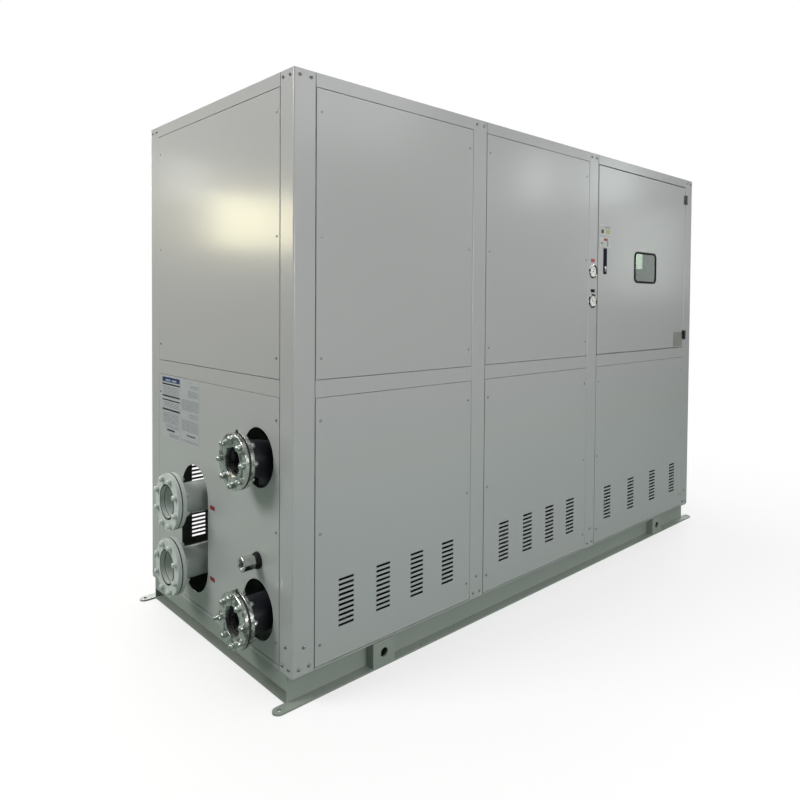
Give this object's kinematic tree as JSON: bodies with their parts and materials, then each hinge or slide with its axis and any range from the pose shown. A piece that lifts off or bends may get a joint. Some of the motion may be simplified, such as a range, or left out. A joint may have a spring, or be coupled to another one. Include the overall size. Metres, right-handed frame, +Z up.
{
  "type": "water chiller",
  "caption": "Packaged water-cooled chiller in a sheet-steel cabinet on a channel base, with flanged water connections on one end, vent slots and a hinged control door with a window.",
  "frame": {"origin": "on the floor, in the middle of the four anchor holes of the base", "axes": "+Z up, +X along the cabinet away from the water connections, -Y out of the control door"},
  "size_m": [3.3374, 1.361, 2.362],
  "materials": {
    "cabinet_paint": "light warm grey, satin, some dust and scuffs",
    "base_paint": "light grey, satin, worn at the edges",
    "inner_steel": "grey primed sheet",
    "plated_steel": "bright plated, slightly stained",
    "pipe_paint": "grey, brushed on",
    "shell_paint": "dark grey, satin",
    "insulation": "matt closed-cell lagging",
    "black_rubber": "matt",
    "black_metal": "black, semi-gloss",
    "lever_metal": "polished",
    "window_glass": "clear, slightly green",
    "gauge_case": "bright bezel",
    "brass": "dull",
    "zinc_sheet": "galvanised"
  },
  "bodies": {
    "cabinet": {"back_lower_panels": "cabinet_paint", "back_mid_posts": "cabinet_paint", "back_rails": "cabinet_paint", "back_upper_panels": "cabinet_paint", "base_back_beam": "base_paint", "base_cross_beams": "base_paint", "base_end_beams": "base_paint", "base_front_beam": "base_paint", "chilled_inner_flanges": "plated_steel", "chilled_outer_flanges": "plated_steel", "condenser": "shell_paint", "condenser_pipes": "pipe_paint", "condenser_saddles": "shell_paint", "control_enclosure": "inner_steel", "cooling_inner_flanges": "pipe_paint", "cooling_outer_flanges": "pipe_paint", "corner_posts": "cabinet_paint", "drain_collar": "black_rubber", "drain_socket": "brass", "end_rails": "cabinet_paint", "evaporator": "insulation", "evaporator_pipes": "insulation", "flange_gaskets": "black_rubber", "front_lower_panel_left": "cabinet_paint", "front_lower_panel_middle": "cabinet_paint", "front_lower_panel_right": "cabinet_paint", "front_mid_posts": "cabinet_paint", "front_rails": "cabinet_paint", "front_upper_panel_left": "cabinet_paint", "front_upper_panel_middle": "cabinet_paint", "hinge_frame_halves": "black_metal", "left_lower_panel": "cabinet_paint", "left_upper_panel": "cabinet_paint", "lifting_lugs": "base_paint", "mounting_plate": "zinc_sheet", "pressure_gauges": "gauge_case", "right_panels": "cabinet_paint", "roof_panel": "cabinet_paint"},
    "door": {"control_door": "cabinet_paint", "window_frame": "black_rubber", "window_glass": "window_glass", "door_handle": "black_metal", "lock_barrel": "lever_metal", "hinge_door_halves": "black_metal"},
    "lever": {"handle_lever": "lever_metal"}
  },
  "joints": [
    {"name": "door_hinge", "type": "hinge", "parent": "cabinet", "child": "door", "pos_m": [1.47475, -0.68, 1.7615], "axis": [0, 0, 1], "range_deg": [0, 110]},
    {"name": "handle_lift", "type": "hinge", "parent": "door", "child": "lever", "pos_m": [0.4825, -0.6815, 1.8155], "axis": [-1, 0, 0], "range_deg": [0, 30]}
  ]
}
